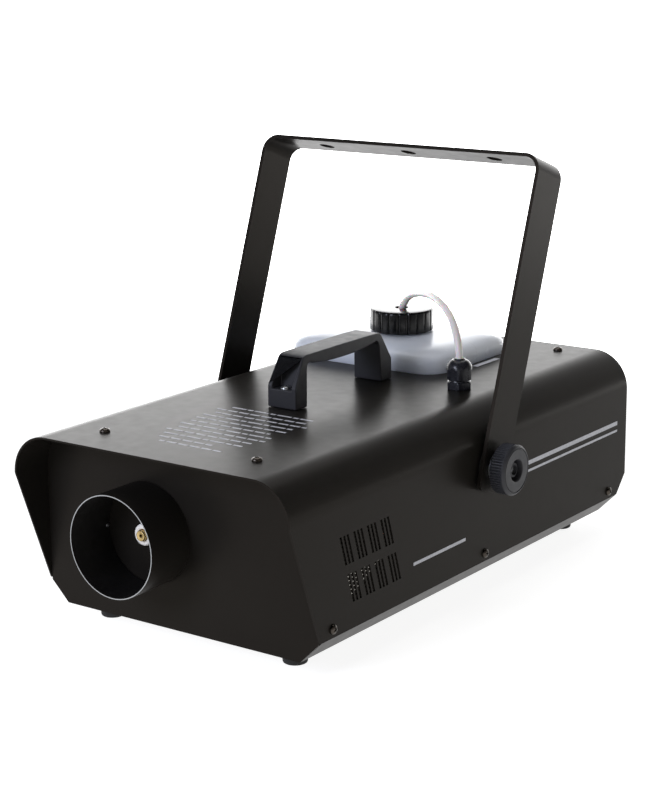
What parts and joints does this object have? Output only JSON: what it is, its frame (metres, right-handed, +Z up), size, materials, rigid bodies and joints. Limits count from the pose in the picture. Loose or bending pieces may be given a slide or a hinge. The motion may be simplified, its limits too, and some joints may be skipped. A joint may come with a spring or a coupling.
{
  "type": "fog machine",
  "caption": "Fog machine: hooded sheet-metal case with nozzle tube, heater, pump and sunk fluid tank, carrying handle and a tilting hanging yoke with clamp knobs.",
  "frame": {"origin": "on the floor, under the middle of the overall length and width", "axes": "+Y from the nozzle end to the rear panel, +X to the right seen from the front, +Z up"},
  "size_m": [0.311, 0.5052, 0.3476],
  "materials": {
    "powder_coat": "black satin powder coat on steel sheet",
    "rubber": "matt black rubber",
    "moulding": "black moulded nylon, fine grain",
    "cap_plastic": "glossy black moulded cap",
    "tank_plastic": "translucent milky polyethylene, blow-moulded",
    "hose": "clear silicone hose, slightly milky",
    "brass": "turned brass",
    "white_sleeve": "white unglazed insulating ceramic",
    "zinc": "zinc-plated steel",
    "alloy": "cast aluminium",
    "fibre": "white ceramic-fibre wool",
    "copper": "copper tube",
    "board": "green circuit board",
    "winding": "varnished copper winding on a steel core",
    "red_plastic": "red translucent plastic"
  },
  "bodies": {
    "housing": {"top_cover": "powder_coat", "base_tray": "powder_coat", "front_panel": "powder_coat", "rear_panel": "powder_coat", "guard_tube": "powder_coat", "tube_disc": "powder_coat", "friction_washer_left": "rubber", "friction_washer_right": "rubber", "foot_front_left": "rubber", "foot_front_right": "rubber", "foot_rear_left": "rubber", "foot_rear_right": "rubber", "pump_body": "moulding", "carry_handle": "moulding", "gland_body": "moulding", "gland_nut": "moulding", "mains_inlet": "moulding", "switch_frame": "moulding", "fuse_holder": "moulding", "tank": "tank_plastic", "fluid_hose": "hose", "nozzle": "brass", "suction_filter": "brass", "nozzle_sleeve": "white_sleeve", "thermostat": "white_sleeve", "vent_guard_left": "zinc", "vent_guard_right": "zinc", "heater_case": "zinc", "heater_bracket_front": "zinc", "heater_bracket_rear": "zinc", "pump_bracket": "zinc", "tank_well": "zinc", "handle_screw_front": "zinc", "handle_screw_rear": "zinc", "pivot_nut_left": "zinc", "pivot_nut_right": "zinc", "remote_socket": "zinc", "cover_screw_front_left": "zinc", "cover_screw_front_right": "zinc", "cover_screw_rear_left": "zinc", "cover_screw_rear_right": "zinc", "heater_core": "alloy", "heater_insulation": "fibre", "feed_pipe": "copper", "control_board": "board", "pump_coil": "winding", "transformer": "winding", "ready_lamp": "red_plastic"},
    "yoke": {"yoke": "powder_coat"},
    "thrust_left": {"thrust_washer_left": "zinc"},
    "thrust_right": {"thrust_washer_right": "zinc"},
    "clamp_left": {"knob_left": "moulding", "knob_stud_left": "zinc"},
    "clamp_right": {"knob_right": "moulding", "knob_stud_right": "zinc"},
    "seal": {"cap_seal": "rubber"},
    "cap": {"tank_cap": "cap_plastic"},
    "piston": {"pump_piston": "zinc"},
    "rocker": {"power_rocker": "red_plastic"},
    "fuse_cap": {"fuse_cap": "moulding"}
  },
  "joints": [
    {"name": "yoke_tilt", "type": "hinge", "parent": "housing", "child": "yoke", "pos_m": [0, 0.0186, 0.108], "axis": [1, 0, 0], "range_deg": [-95, 88]},
    {"name": "knob_right_travel", "type": "slide", "parent": "housing", "child": "thrust_right", "axis": [1, 0, 0], "range_m": [0, 0.0025]},
    {"name": "knob_right_turn", "type": "hinge", "parent": "thrust_right", "child": "clamp_right", "pos_m": [0.145, 0.0186, 0.108], "axis": [1, 0, 0], "range_deg": [0, 720]},
    {"name": "knob_left_travel", "type": "slide", "parent": "housing", "child": "thrust_left", "axis": [-1, 0, 0], "range_m": [0, 0.0025]},
    {"name": "knob_left_turn", "type": "hinge", "parent": "thrust_left", "child": "clamp_left", "pos_m": [-0.145, 0.0186, 0.108], "axis": [-1, 0, 0], "range_deg": [0, 720]},
    {"name": "cap_rise", "type": "slide", "parent": "housing", "child": "seal", "axis": [0, 0, 1], "range_m": [0, 0.0014]},
    {"name": "cap_turn", "type": "hinge", "parent": "seal", "child": "cap", "pos_m": [-0.0418, 0.1531, 0.186], "axis": [0, 0, 1], "range_deg": [0, 126]},
    {"name": "pump_stroke", "type": "slide", "parent": "housing", "child": "piston", "axis": [0, 1, 0], "range_m": [-0.002, 0.002], "stiffness_N_per_m": 400},
    {"name": "rocker_tilt", "type": "hinge", "parent": "housing", "child": "rocker", "pos_m": [-0.04, 0.2358, 0.0585], "axis": [1, 0, 0], "range_deg": [0, 12]},
    {"name": "fuse_cap_turn", "type": "hinge", "parent": "housing", "child": "fuse_cap", "pos_m": [-0.01, 0.2424, 0.0585], "axis": [0, 1, 0], "range_deg": [0, 90]}
  ],
  "couplings": [
    {"joint": "knob_right_turn", "follows": "knob_right_travel", "rad_per_m": 5026.5},
    {"joint": "knob_left_turn", "follows": "knob_left_travel", "rad_per_m": 5026.5},
    {"joint": "cap_turn", "follows": "cap_rise", "rad_per_m": 1570.7}
  ]
}
